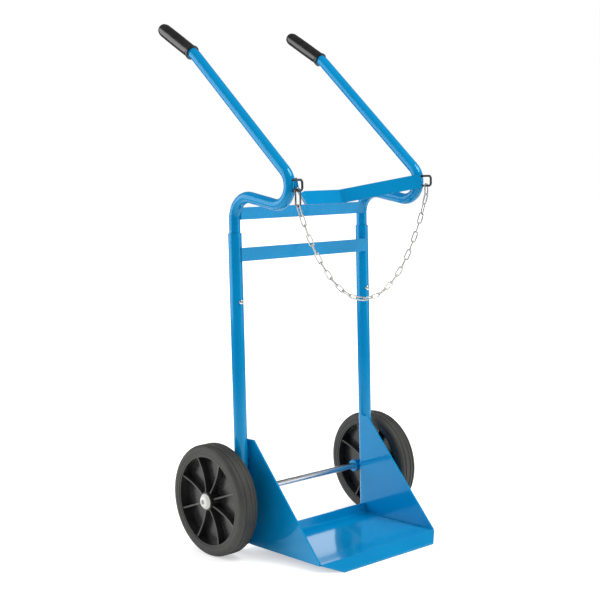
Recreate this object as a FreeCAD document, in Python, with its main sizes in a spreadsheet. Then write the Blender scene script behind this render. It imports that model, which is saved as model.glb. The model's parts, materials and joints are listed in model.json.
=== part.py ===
import FreeCAD, Part
import math
import os
import Sketcher

# Gas cylinder trolley: a welded lower frame with a toe plate and two wheels, and
# a telescopic upper frame with two bent handles, a cylinder cradle and a chain.
# X runs across the trolley, -Y is the toe plate's side, Z is up from the floor.

DRIVING_SIZES = {
    # Telescopic uprights
    "upright_spacing": 390,
    "lower_tube_wall": 2,
    "lower_tube_foot": 20,
    "lower_tube_top": 716,
    "handle_tube_diameter": 25,
    "handle_tube_wall": 2,
    "handle_insert_depth": 276,
    # Bend points of the handle tubes, where their straight axes would cross
    "arm_root_rise": 88.4,
    "top_bend_radius": 50,
    "front_point_reach": 282,
    "front_point_drop": 52.4,
    "front_bend_radius": 41,
    "grip_point_reach": 123,
    "grip_point_rise": 358.2,
    "grip_bend_radius": 60,
    "grip_rise_angle": 29.8,
    # Handle grips
    "grip_setback": 10.5,
    "grip_length": 135,
    "grip_diameter": 31,
    "grip_collar_diameter": 34,
    "grip_collar_length": 6,
    "grip_collar_slope": 5,
    "grip_end_wall": 8,
    # Flat crossbars
    "bar_thickness": 5,
    "lower_bar_height": 30,
    "lower_bar_drop": 62,
    "lower_bar_setback": 4,
    "upper_bar_height": 27,
    "upper_bar_drop": 59.4,
    "upper_bar_setback": 7,
    "bar_proud": 2.5,
    # Cylinder cradle
    "cradle_bar_height": 31,
    "cradle_centre_width": 110,
    "cradle_centre_reach": 72,
    "cradle_foot_rise": 20.5,
    "cradle_tilt_angle": 14,
    "cradle_end_overlap": 4,
    "cradle_weld_gap": 0.1,
    "cradle_bend_radius": 6,
    # Toe plate
    "sheet_thickness": 4,
    "plate_underside": 14.5,
    "plate_rear_reach": 14,
    "plate_fold_reach": 240,
    "flange_height": 22,
    "flange_top_offset": 4,
    "lip_length": 30,
    "lip_corner_taper": 36.5,
    "plate_bend_radius": 6,
    # Side gussets
    "gusset_rear_reach": 3,
    "gusset_top_height": 256,
    "gusset_top_width": 23,
    "gusset_toe_setback": 5,
    "gusset_toe_height": 5,
    "gusset_corner_radius": 6,
    # Axle
    "axle_diameter": 15,
    "axle_chamfer": 1,
    "axle_end_depth": 6,
    "sleeve_diameter": 28,
    "spacer_diameter": 24,
    # Wheels
    "wheel_diameter": 250,
    "wheel_standoff": 54,
    "tyre_width": 50,
    "tyre_section": 23,
    "tyre_shoulder_radius": 11,
    "tyre_wall_step_depth": 1,
    "tyre_wall_step_width": 9,
    "tread_groove_width": 2,
    "tread_groove_depth": 1.2,
    "tread_groove_pitch": 9,
    "rim_width": 46,
    "rim_ring_thickness": 3.5,
    "rim_web_thickness": 4,
    "hub_diameter": 40,
    "hub_length": 52,
    "bush_diameter": 22,
    "rib_count": 8,
    "rib_thickness": 4,
    "rib_hub_depth": 22,
    "rib_ring_depth": 21.5,
    "rib_scoop_depth": 16,
    "rib_start_angle": 25.4,
    "hub_cap_diameter": 34,
    "hub_cap_height": 9,
    "hub_cap_edge": 3,
    "hub_cap_dimple_diameter": 9,
    "hub_cap_dimple_depth": 1.5,
    # Lock screws of the telescopic uprights
    "lock_screw_drop": 83.5,
    "lock_shank_diameter": 6,
    "lock_head_diameter": 11,
    "lock_head_height": 4,
    "lock_head_edge": 1.6,
    # Chain eyes
    "eye_wire": 5,
    "eye_rise": 22,
    "eye_reach": 27,
    "eye_bend_radius": 6,
    # Chain
    "chain_reach": 12.5,
    "chain_wire": 3.2,
    "link_pitch": 22.8,
    "link_inner_width": 5.8,
    "chain_link_count": 27,
    "chain_twist_angle": 45,
    "chain_twist_step": 15,
    # Snap hook
    "hook_wire": 4,
    "hook_inner_length": 34,
    "hook_inner_width": 9,
    "gate_length": 17,
    "gate_hinge_drop": 9,
    "gate_tongue_thickness": 1.6,
    "gate_tongue_length": 5,
    "gate_pin_diameter": 1.6,
    # Fits and cuts
    "slide_clearance": 0.5,
    "running_clearance": 0.05,
    "press_clearance": 0.05,
    "seat_clearance": 0.3,
    "cut_overrun": 5,
}

doc = FreeCAD.newDocument("CylinderTrolley")
sheet = doc.addObject("Spreadsheet::Sheet", "Sizes")
for row, (alias, number) in enumerate(DRIVING_SIZES.items(), start=1):
    sheet.set("A%d" % row, alias)
    sheet.set("B%d" % row, str(number))
    sheet.setAlias("B%d" % row, alias)
doc.recompute()

SIDES = {"left": -1, "right": 1}
nodes = []


def size(alias):
    return float(getattr(sheet, alias))


def amount(formula):
    """A number as it is, or the value of a formula of the sheet's cells."""
    if isinstance(formula, str):
        return float(sheet.evalExpression(formula))
    return formula


def radius_of(alias):
    return size(alias) / 2


# Drawing helpers


def new_body(label):
    body = doc.addObject("PartDesign::Body", label)
    body.Label = label
    nodes.append(body)
    return body


def origin_feature(body, role):
    for feature in body.Origin.OriginFeatures:
        if feature.Role == role:
            return feature
    raise ValueError(role)


def new_sketch(body, plane, name, offset=None):
    sketch = body.newObject("Sketcher::SketchObject", name)
    sketch.AttachmentSupport = [(origin_feature(body, plane), "")]
    sketch.MapMode = "FlatFace"
    if isinstance(offset, str):
        sketch.setExpression("AttachmentOffset.Base.z", offset)
    elif offset is not None:
        sketch.AttachmentOffset = FreeCAD.Placement(FreeCAD.Vector(0, 0, offset), FreeCAD.Rotation())
    return sketch


def bind(sketch, kind, *references, formula):
    """A dimension of the sketch that follows a formula of the sheet's cells."""
    index = sketch.addConstraint(Sketcher.Constraint(kind, *references, amount(formula)))
    if isinstance(formula, str):
        sketch.setExpression("Constraints[%d]" % index, formula)


def pin_point(sketch, curve, end, across, up):
    bind(sketch, "DistanceX", curve, end, formula=across)
    bind(sketch, "DistanceY", curve, end, formula=up)


def point(across, up):
    return FreeCAD.Vector(amount(across), amount(up), 0)


def draw_outline(sketch, corners):
    """A closed outline of straight edges through corners given as formulas."""
    places = [point(*corner) for corner in corners]
    count = len(places)
    first = sketch.GeometryCount
    for index, place in enumerate(places):
        sketch.addGeometry(Part.LineSegment(place, places[(index + 1) % count]), False)
    for index, corner in enumerate(corners):
        sketch.addConstraint(
            Sketcher.Constraint("Coincident", first + index, 2, first + (index + 1) % count, 1)
        )
        pin_point(sketch, first + index, 1, *corner)


def draw_circle(sketch, across, up, radius):
    circle = Part.Circle(point(across, up), FreeCAD.Vector(0, 0, 1), amount(radius))
    index = sketch.addGeometry(circle, False)
    pin_point(sketch, index, 3, across, up)
    bind(sketch, "Radius", index, formula=radius)


def draw_bent_path(sketch, corners, radii):
    """Straight runs through the corners, joined by tangent arcs of the given radii."""
    places = [point(*corner) for corner in corners]
    guides = []
    for start, end in zip(places, places[1:]):
        guides.append(sketch.addGeometry(Part.LineSegment(start, end), True))
    for index, guide in enumerate(guides):
        pin_point(sketch, guide, 1, *corners[index])
        pin_point(sketch, guide, 2, *corners[index + 1])
    arcs = []
    starts = [places[0]]
    stops = []
    for before, corner, after, radius in zip(places, places[1:], places[2:], radii):
        entry_place, middle, leave_place = rounded_corner(before, corner, after, amount(radius))
        arcs.append(Part.Arc(entry_place, middle, leave_place))
        stops.append(entry_place)
        starts.append(leave_place)
    stops.append(places[-1])
    runs = []
    for start, stop in zip(starts, stops):
        runs.append(sketch.addGeometry(Part.LineSegment(start, stop), False))
    sketch.addConstraint(Sketcher.Constraint("Coincident", runs[0], 1, guides[0], 1))
    sketch.addConstraint(Sketcher.Constraint("Coincident", runs[-1], 2, guides[-1], 2))
    for run, guide in zip(runs[1:], guides[1:]):
        sketch.addConstraint(Sketcher.Constraint("PointOnObject", run, 1, guide))
    for run, guide in zip(runs[:-1], guides[:-1]):
        sketch.addConstraint(Sketcher.Constraint("PointOnObject", run, 2, guide))
    for index, (arc, radius) in enumerate(zip(arcs, radii)):
        curve = sketch.addGeometry(arc, False)
        to_entry = [sketch.getPoint(curve, end).distanceToPoint(stops[index]) for end in (1, 2)]
        start_first = to_entry[0] < to_entry[1]
        entry, leave = (1, 2) if start_first else (2, 1)
        sketch.addConstraint(Sketcher.Constraint("Tangent", runs[index], 2, curve, entry))
        sketch.addConstraint(Sketcher.Constraint("Tangent", curve, leave, runs[index + 1], 1))
        bind(sketch, "Radius", curve, formula=radius)


def rounded_corner(before, corner, after, radius):
    """The start, middle and end of the arc that rounds a corner."""
    inward = (before - corner).normalize()
    outward = (after - corner).normalize()
    half_angle = inward.getAngle(outward) / 2
    tangent = radius / math.tan(half_angle)
    bisector = (inward + outward).normalize()
    middle = corner + bisector * (radius / math.sin(half_angle) - radius)
    return corner + inward * tangent, middle, corner + outward * tangent


def bend_centre(before, corner, after, radius):
    inward = (before - corner).normalize()
    outward = (after - corner).normalize()
    half_angle = inward.getAngle(outward) / 2
    return corner + (inward + outward).normalize() * (radius / math.sin(half_angle))


# Feature helpers


def pad(body, sketch, length, symmetric=False):
    feature = body.newObject("PartDesign::Pad", sketch.Name + "_pad")
    feature.Profile = sketch
    feature.setExpression("Length", length)
    if symmetric:
        feature.SideType = "Symmetric"
    doc.recompute()
    return feature


def pocket(body, sketch, length, symmetric=False, reverse=False):
    before = body.Shape.Volume
    feature = body.newObject("PartDesign::Pocket", sketch.Name + "_pocket")
    feature.Profile = sketch
    feature.setExpression("Length", length)
    feature.Reversed = reverse
    if symmetric:
        feature.SideType = "Symmetric"
    doc.recompute()
    if not feature.Shape.Volume < before:
        raise ValueError("nothing was cut by " + sketch.Name)
    return feature


def revolve(body, sketch, axis="H_Axis"):
    feature = body.newObject("PartDesign::Revolution", sketch.Name + "_turn")
    feature.Profile = sketch
    feature.ReferenceAxis = (sketch, [axis])
    feature.Angle = 360
    doc.recompute()
    return feature


def sweep(body, profile, spine, kind="PartDesign::AdditivePipe"):
    feature = body.newObject(kind, spine.Name + "_pipe")
    feature.Profile = profile
    feature.Spine = (spine, [""])
    doc.recompute()
    return feature


def round_edges(body, base, radius, chosen):
    names = []
    for index, edge in enumerate(base.Shape.Edges, start=1):
        if chosen(edge):
            names.append("Edge%d" % index)
    feature = body.newObject("PartDesign::Fillet", body.Name + "_fillet")
    feature.Base = (base, names)
    feature.setExpression("Radius", radius)
    doc.recompute()
    return feature


def place(item, across=0.0, depth=0.0, height=0.0, turn_axis=None, turn_angle=0.0):
    rotation = FreeCAD.Rotation()
    if turn_axis is not None:
        rotation = FreeCAD.Rotation(turn_axis, turn_angle)
    base = FreeCAD.Vector(amount(across), amount(depth) + frame_shift, amount(height))
    item.Placement = FreeCAD.Placement(base, rotation)
    if isinstance(across, str):
        item.setExpression("Placement.Base.x", across)
    if isinstance(height, str):
        item.setExpression("Placement.Base.z", height)


def wire_ring(path_edges, start, direction, wire_radius):
    """A round wire swept along a path of straight runs and tangent arcs."""
    section = Part.Wire([Part.Circle(start, direction, wire_radius).toShape()])
    return Part.Wire(path_edges).makePipeShell([section], True, False)


X_WAY = FreeCAD.Vector(1, 0, 0)
Y_WAY = FreeCAD.Vector(0, 1, 0)
Z_WAY = FreeCAD.Vector(0, 0, 1)

# Sizes that follow from others

LOWER_TUBE = "(Sizes.handle_tube_diameter + 2 * (Sizes.slide_clearance + Sizes.lower_tube_wall))"
WHEEL_OFFSET = "(Sizes.upright_spacing / 2 + Sizes.wheel_standoff)"
LIP_REACH = "(Sizes.plate_fold_reach + Sizes.lip_length)"
LOWER_BAR_FOOT = "(Sizes.lower_tube_top - Sizes.lower_bar_drop)"
LOCK_HEIGHT = "(" + LOWER_BAR_FOOT + " - Sizes.lock_screw_drop - Sizes.lock_head_diameter / 2)"
HANDLE_FOOT = "(Sizes.lower_tube_top - Sizes.handle_insert_depth)"
ARM_ROOT_HEIGHT = "(Sizes.lower_tube_top + Sizes.arm_root_rise)"
UPPER_BAR_FOOT = "(" + ARM_ROOT_HEIGHT + " - Sizes.upper_bar_drop)"
FRONT_POINT_HEIGHT = "(" + ARM_ROOT_HEIGHT + " - Sizes.front_point_drop)"
CRADLE_FOOT = "(" + FRONT_POINT_HEIGHT + " + Sizes.cradle_foot_rise)"
GRIP_POINT_HEIGHT = "(" + FRONT_POINT_HEIGHT + " + Sizes.grip_point_rise)"

# Places that several pieces share, in the plane of an upright

half_spacing = radius_of("upright_spacing")
handle_radius = radius_of("handle_tube_diameter")
grip_angle = math.radians(size("grip_rise_angle"))
grip_way = FreeCAD.Vector(math.cos(grip_angle), math.sin(grip_angle), 0)
grip_point = point("Sizes.grip_point_reach", GRIP_POINT_HEIGHT)
grip_start = grip_point + grip_way * size("grip_setback")
grip_dome_centre = grip_start + grip_way * (size("grip_length") - radius_of("grip_diameter"))
front_point = point("-Sizes.front_point_reach", FRONT_POINT_HEIGHT)
arm_root = point(0.0, ARM_ROOT_HEIGHT)
front_centre = bend_centre(arm_root, front_point, grip_point, size("front_bend_radius"))
front_tube_reach = size("front_bend_radius") + handle_radius

# The frame's origin is under the middle of the trolley's outline
rear_reach = grip_dome_centre.x + radius_of("grip_diameter")
frame_shift = (amount(LIP_REACH) - rear_reach) / 2

lower_tube_radius = amount(LOWER_TUBE) / 2
axle_depth = lower_tube_radius + radius_of("sleeve_diameter") + size("seat_clearance")
axle_height = radius_of("wheel_diameter")
wheel_offset = amount(WHEEL_OFFSET)
gusset_inner_face = half_spacing - lower_tube_radius - size("sheet_thickness")


# Lower frame


def make_lower_upright(side, sign):
    body = new_body("lower_upright_" + side)
    ring = new_sketch(body, "XY_Plane", "lower_tube_ring_" + side)
    draw_circle(ring, 0.0, 0.0, LOWER_TUBE + " / 2")
    draw_circle(ring, 0.0, 0.0, LOWER_TUBE + " / 2 - Sizes.lower_tube_wall")
    pad(body, ring, "Sizes.lower_tube_top - Sizes.lower_tube_foot")
    hole = new_sketch(body, "XZ_Plane", "lock_hole_" + side)
    draw_circle(hole, 0.0, LOCK_HEIGHT + " - Sizes.lower_tube_foot",
                "Sizes.lock_shank_diameter / 2 + Sizes.press_clearance")
    pocket(body, hole, LOWER_TUBE + " / 2 + Sizes.cut_overrun", reverse=True)
    place(body, sign * half_spacing, 0.0, "Sizes.lower_tube_foot")


def make_crossbar(label, tube, height, foot, setback):
    """A flat bar welded to the front of two tubes, its ends hollowed to fit them and the top bends."""
    body = new_body(label)
    half_length = "(Sizes.upright_spacing / 2 - Sizes.%s)" % setback
    front = "-(%s / 2 + Sizes.bar_proud)" % tube
    back = "-(%s / 2 + Sizes.bar_proud - Sizes.bar_thickness)" % tube
    flat = new_sketch(body, "XY_Plane", label + "_flat")
    draw_outline(flat, [
        ("-" + half_length, front),
        (half_length, front),
        (half_length, back),
        ("-" + half_length, back),
    ])
    pad(body, flat, "Sizes." + height)
    for sign, side in (("-", "left"), ("", "right")):
        middle = sign + "Sizes.upright_spacing / 2"
        spine = new_sketch(body, "YZ_Plane", label + "_route_" + side, middle)
        draw_bent_path(spine, [
            (0.0, "-Sizes." + height),
            (0.0, ARM_ROOT_HEIGHT + " - " + foot),
            ("-Sizes.front_point_reach", FRONT_POINT_HEIGHT + " - " + foot),
        ], ["Sizes.top_bend_radius"])
        hollow = new_sketch(body, "XY_Plane", label + "_hollow_" + side, "-Sizes." + height)
        draw_circle(hollow, middle, 0.0, tube + " / 2 + Sizes.seat_clearance")
        sweep(body, hollow, spine, "PartDesign::SubtractivePipe")
    place(body, 0.0, 0.0, foot)


def at_folds(*corners):
    """A test for the edges across the sheet at the given corners of its section."""
    places = [point(*corner) for corner in corners]

    def is_fold(edge):
        middle = edge.CenterOfMass
        seen = FreeCAD.Vector(middle.y, middle.z, 0)
        return any(seen.distanceToPoint(spot) < size("seat_clearance") for spot in places)

    return is_fold


def make_toe_plate():
    """One folded sheet: a rear flange, a flat plate and a sloped lip with cut corners."""
    body = new_body("toe_plate")
    inner_width = "(Sizes.upright_spacing - " + LOWER_TUBE + " - 2 * Sizes.sheet_thickness)"
    underside = "Sizes.plate_underside"
    topside = "Sizes.plate_underside + Sizes.sheet_thickness"
    section = new_sketch(body, "YZ_Plane", "toe_plate_section")
    lip_under = ("-Sizes.plate_fold_reach", underside)
    lip_top = ("-Sizes.plate_fold_reach", topside)
    flange_under = ("-Sizes.plate_rear_reach", underside)
    flange_top = ("-Sizes.plate_rear_reach - Sizes.sheet_thickness", topside)
    draw_outline(section, [
        ("-" + LIP_REACH, 0.0),
        lip_under,
        flange_under,
        ("-Sizes.plate_rear_reach + Sizes.flange_top_offset", topside + " + Sizes.flange_height"),
        ("-Sizes.plate_rear_reach + Sizes.flange_top_offset - Sizes.sheet_thickness",
         topside + " + Sizes.flange_height"),
        flange_top,
        lip_top,
        ("-" + LIP_REACH, "Sizes.sheet_thickness"),
    ])
    sheet_pad = pad(body, section, inner_width, symmetric=True)
    inside = round_edges(body, sheet_pad, "Sizes.plate_bend_radius", at_folds(lip_under, flange_top))
    round_edges(body, inside, "Sizes.plate_bend_radius + Sizes.sheet_thickness",
                at_folds(lip_top, flange_under))
    corners = new_sketch(body, "XY_Plane", "lip_corners")
    for sign in ("-", ""):
        front_corner = sign + "(" + inner_width + " / 2 - Sizes.lip_corner_taper)"
        clear_of_side = sign + "(" + inner_width + " / 2 + Sizes.cut_overrun)"
        clear_of_lip = "-" + LIP_REACH + " - Sizes.cut_overrun"
        draw_outline(corners, [
            (sign + inner_width + " / 2", "-Sizes.plate_fold_reach"),
            (front_corner, "-" + LIP_REACH),
            (front_corner, clear_of_lip),
            (clear_of_side, clear_of_lip),
            (clear_of_side, "-Sizes.plate_fold_reach"),
        ])
    pocket(body, corners, "2 * (Sizes.plate_underside + Sizes.cut_overrun + Sizes.sheet_thickness)",
           symmetric=True)
    place(body)


def make_side_gusset(side, sign):
    body = new_body("side_gusset_" + side)
    foot = "Sizes.plate_underside"
    toe = "-(Sizes.plate_fold_reach - Sizes.gusset_toe_setback)"
    profile = new_sketch(body, "YZ_Plane", "gusset_profile_" + side)
    top_front = (
        "-Sizes.gusset_rear_reach - Sizes.gusset_top_width",
        "Sizes.gusset_top_height",
    )
    draw_outline(profile, [
        ("-Sizes.gusset_rear_reach", foot),
        ("-Sizes.gusset_rear_reach", "Sizes.gusset_top_height"),
        top_front,
        (toe, foot + " + Sizes.gusset_toe_height"),
        (toe, foot),
    ])
    plate = pad(body, profile, "Sizes.sheet_thickness", symmetric=True)
    round_edges(body, plate, "Sizes.gusset_corner_radius", at_folds(top_front))
    place(body, sign * (gusset_inner_face + size("sheet_thickness") / 2))


def make_axle():
    body = new_body("axle")
    profile = new_sketch(body, "XY_Plane", "axle_profile")
    half_length = "(" + WHEEL_OFFSET + " + Sizes.hub_length / 2 + Sizes.axle_end_depth)"
    draw_outline(profile, [
        ("-" + half_length, 0.0),
        (half_length, 0.0),
        (half_length, "Sizes.axle_diameter / 2 - Sizes.axle_chamfer"),
        (half_length + " - Sizes.axle_chamfer", "Sizes.axle_diameter / 2"),
        ("-" + half_length + " + Sizes.axle_chamfer", "Sizes.axle_diameter / 2"),
        ("-" + half_length, "Sizes.axle_diameter / 2 - Sizes.axle_chamfer"),
    ])
    revolve(body, profile)
    place(body, 0.0, axle_depth, axle_height)


def make_axle_ring(label, diameter, length, middle):
    """A sleeve or spacer on the axle, its middle at a place across the trolley."""
    body = new_body(label)
    ring = new_sketch(body, "YZ_Plane", label + "_ring")
    draw_circle(ring, 0.0, 0.0, diameter + " / 2")
    draw_circle(ring, 0.0, 0.0, "Sizes.axle_diameter / 2 + Sizes.press_clearance")
    pad(body, ring, length, symmetric=True)
    place(body, middle, axle_depth, axle_height)


def make_lock_screw(side, sign):
    """A dome-headed screw through the front wall, its tip just clear of the inner tube."""
    body = new_body("lock_screw_" + side)
    profile = new_sketch(body, "XY_Plane", "lock_screw_profile_" + side)
    under_head = LOWER_TUBE + " / 2 + Sizes.seat_clearance"
    tip = "Sizes.handle_tube_diameter / 2 + Sizes.seat_clearance"
    head_top = "(" + under_head + " + Sizes.lock_head_height)"
    draw_outline(profile, [
        (tip, 0.0),
        (head_top, 0.0),
        (head_top, "Sizes.lock_head_diameter / 2 - Sizes.lock_head_edge"),
        (head_top + " - Sizes.lock_head_edge", "Sizes.lock_head_diameter / 2"),
        (under_head, "Sizes.lock_head_diameter / 2"),
        (under_head, "Sizes.lock_shank_diameter / 2"),
        (tip, "Sizes.lock_shank_diameter / 2"),
    ])
    revolve(body, profile)
    place(body, sign * half_spacing, 0.0, LOCK_HEIGHT, Z_WAY, -90)


# Wheels


def make_tyre(side, sign):
    body = new_body("tyre_" + side)
    outer = "Sizes.wheel_diameter / 2"
    inner = "(Sizes.wheel_diameter / 2 - Sizes.tyre_section)"
    half = "Sizes.tyre_width / 2"
    step = "(Sizes.tyre_width / 2 - Sizes.tyre_wall_step_depth)"
    step_top = inner + " + Sizes.tyre_wall_step_width"
    groove_floor = "Sizes.wheel_diameter / 2 - Sizes.tread_groove_depth"
    corners = [("-" + step, inner), (step, inner), (step, step_top), (half, step_top), (half, outer)]
    for place_share in (1, 0, -1):
        middle = "%d * Sizes.tread_groove_pitch" % place_share
        corners += [
            (middle + " + Sizes.tread_groove_width / 2", outer),
            (middle + " + Sizes.tread_groove_width / 2", groove_floor),
            (middle + " - Sizes.tread_groove_width / 2", groove_floor),
            (middle + " - Sizes.tread_groove_width / 2", outer),
        ]
    corners += [("-" + half, outer), ("-" + half, step_top), ("-" + step, step_top)]
    section = new_sketch(body, "XY_Plane", "tyre_section_" + side)
    draw_outline(section, corners)
    casing = revolve(body, section)

    def is_shoulder(edge):
        box = edge.BoundBox
        at_side = abs(abs(box.Center.x) - size("tyre_width") / 2) < size("seat_clearance")
        return at_side and box.YLength > size("wheel_diameter") - size("seat_clearance")

    round_edges(body, casing, "Sizes.tyre_shoulder_radius", is_shoulder)
    place(body, sign * wheel_offset, axle_depth, axle_height)


def make_rim(side, sign):
    """A moulded rim: a ring, a middle web and a hub, with scooped ribs on both faces."""
    body = new_body("rim_" + side)
    ring_outer = "(Sizes.wheel_diameter / 2 - Sizes.tyre_section - Sizes.press_clearance)"
    ring_inner = ring_outer + " - Sizes.rim_ring_thickness"
    hub = "Sizes.hub_diameter / 2"
    bore = "Sizes.bush_diameter / 2 + Sizes.press_clearance"
    ring_half = "Sizes.rim_width / 2"
    web_half = "Sizes.rim_web_thickness / 2"
    hub_half = "Sizes.hub_length / 2"
    section = new_sketch(body, "XY_Plane", "rim_section_" + side)
    draw_outline(section, [
        ("-" + hub_half, bore),
        (hub_half, bore),
        (hub_half, hub),
        (web_half, hub),
        (web_half, ring_inner),
        (ring_half, ring_inner),
        (ring_half, ring_outer),
        ("-" + ring_half, ring_outer),
        ("-" + ring_half, ring_inner),
        ("-" + web_half, ring_inner),
        ("-" + web_half, hub),
        ("-" + hub_half, hub),
    ])
    revolve(body, section)

    rib = new_sketch(body, "XZ_Plane", "rib_outline_" + side)
    foot_up = radius_of("hub_diameter") - size("rib_thickness")
    head_up = amount(ring_inner) + size("rim_ring_thickness") / 2
    middle_up = (foot_up + head_up) / 2
    hub_end = size("rib_hub_depth")
    ring_end = size("rib_ring_depth")
    scoop = size("rib_scoop_depth")
    edges = [
        Part.LineSegment(point(-hub_end, foot_up), point(hub_end, foot_up)),
        Part.Arc(point(hub_end, foot_up), point(scoop, middle_up), point(ring_end, head_up)),
        Part.LineSegment(point(ring_end, head_up), point(-ring_end, head_up)),
        Part.Arc(point(-ring_end, head_up), point(-scoop, middle_up), point(-hub_end, foot_up)),
    ]
    for edge in edges:
        rib.addGeometry(edge, False)
    for curve, across, up in (
        (0, "Sizes.rib_hub_depth", foot_up),
        (2, "-Sizes.rib_ring_depth", head_up),
    ):
        pin_point(rib, curve, 2, across, up)
    first_rib = pad(body, rib, "Sizes.rib_thickness", symmetric=True)
    ribs = body.newObject("PartDesign::PolarPattern", "ribs_" + side)
    ribs.Originals = [first_rib]
    ribs.Axis = (origin_feature(body, "X_Axis"), [""])
    ribs.Angle = 360
    ribs.setExpression("Occurrences", "Sizes.rib_count")
    body.Tip = ribs
    doc.recompute()
    turn = size("rib_start_angle")
    place(body, sign * wheel_offset, axle_depth, axle_height, X_WAY, turn)


def make_hub_bush(side, sign):
    body = new_body("hub_bush_" + side)
    ring = new_sketch(body, "YZ_Plane", "hub_bush_ring_" + side)
    draw_circle(ring, 0.0, 0.0, "Sizes.bush_diameter / 2")
    draw_circle(ring, 0.0, 0.0, "Sizes.axle_diameter / 2 + Sizes.running_clearance")
    pad(body, ring, "Sizes.hub_length", symmetric=True)
    place(body, sign * wheel_offset, axle_depth, axle_height)


def make_hub_cap(side, sign):
    """A domed cap pushed on the axle's end, which keeps the wheel on."""
    body = new_body("hub_cap_" + side)
    profile = new_sketch(body, "XY_Plane", "hub_cap_profile_" + side)
    outer = "Sizes.hub_cap_diameter / 2"
    top = "Sizes.hub_cap_height"
    socket = "Sizes.axle_end_depth - Sizes.seat_clearance + Sizes.press_clearance"
    dimple_floor = "Sizes.hub_cap_height - Sizes.hub_cap_dimple_depth"
    draw_outline(profile, [
        (0.0, "Sizes.axle_diameter / 2 + Sizes.press_clearance"),
        (0.0, outer),
        (top, outer),
        (top, "Sizes.hub_cap_dimple_diameter / 2"),
        (dimple_floor, "Sizes.hub_cap_dimple_diameter / 2"),
        (dimple_floor, 0.0),
        (socket, 0.0),
        (socket, "Sizes.axle_diameter / 2 + Sizes.press_clearance"),
    ])
    blank = revolve(body, profile)

    def is_face_rim(edge):
        box = edge.BoundBox
        at_face = abs(box.Center.x - size("hub_cap_height")) < size("press_clearance")
        return at_face and box.YLength > size("hub_cap_diameter") - size("seat_clearance")

    round_edges(body, blank, "Sizes.hub_cap_height - Sizes.hub_cap_edge", is_face_rim)
    middle = wheel_offset + size("hub_length") / 2 + size("seat_clearance")
    turn_angle = 180 if sign < 0 else 0
    place(body, sign * middle, axle_depth, axle_height, Z_WAY, turn_angle)


# Upper frame


def make_handle_tube(side, sign):
    body = new_body("handle_tube_" + side)
    grip_stretch = "(Sizes.grip_setback + Sizes.grip_length - Sizes.grip_end_wall)"
    spine = new_sketch(body, "YZ_Plane", "handle_route_" + side)
    draw_bent_path(spine, [
        (0.0, HANDLE_FOOT),
        (0.0, ARM_ROOT_HEIGHT),
        ("-Sizes.front_point_reach", FRONT_POINT_HEIGHT),
        ("Sizes.grip_point_reach", GRIP_POINT_HEIGHT),
        ("Sizes.grip_point_reach + cos(Sizes.grip_rise_angle * 1 deg) * " + grip_stretch,
         GRIP_POINT_HEIGHT + " + sin(Sizes.grip_rise_angle * 1 deg) * " + grip_stretch),
    ], ["Sizes.top_bend_radius", "Sizes.front_bend_radius", "Sizes.grip_bend_radius"])
    ring = new_sketch(body, "XY_Plane", "handle_tube_ring_" + side, HANDLE_FOOT)
    draw_circle(ring, 0.0, 0.0, "Sizes.handle_tube_diameter / 2")
    draw_circle(ring, 0.0, 0.0, "Sizes.handle_tube_diameter / 2 - Sizes.handle_tube_wall")
    sweep(body, ring, spine)
    place(body, sign * half_spacing)


def make_grip(side, sign):
    """A closed sleeve with a collar at the tube's bend and a round end."""
    body = new_body("grip_" + side)
    tube = "Sizes.handle_tube_diameter / 2 + Sizes.press_clearance"
    outer = "Sizes.grip_diameter / 2"
    collar = "Sizes.grip_collar_diameter / 2"
    profile = new_sketch(body, "XY_Plane", "grip_profile_" + side)
    socket = "Sizes.grip_length - Sizes.grip_end_wall + Sizes.press_clearance"
    draw_outline(profile, [
        (0.0, tube),
        (0.0, collar),
        ("Sizes.grip_collar_length", collar),
        ("Sizes.grip_collar_length + Sizes.grip_collar_slope", outer),
        ("Sizes.grip_length", outer),
        ("Sizes.grip_length", 0.0),
        (socket, 0.0),
        (socket, tube),
    ])
    sleeve = revolve(body, profile)

    def is_end_rim(edge):
        box = edge.BoundBox
        at_end = abs(box.Center.x - size("grip_length")) < size("seat_clearance")
        return at_end and box.YLength > size("grip_diameter") - size("seat_clearance")

    round_edges(body, sleeve, "Sizes.grip_diameter / 2 - Sizes.press_clearance", is_end_rim)
    rotation = FreeCAD.Rotation(X_WAY, FreeCAD.Vector(0, grip_way.x, grip_way.y))
    place(body, sign * half_spacing, grip_start.x, grip_start.y, rotation.Axis,
          math.degrees(rotation.Angle))


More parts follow.
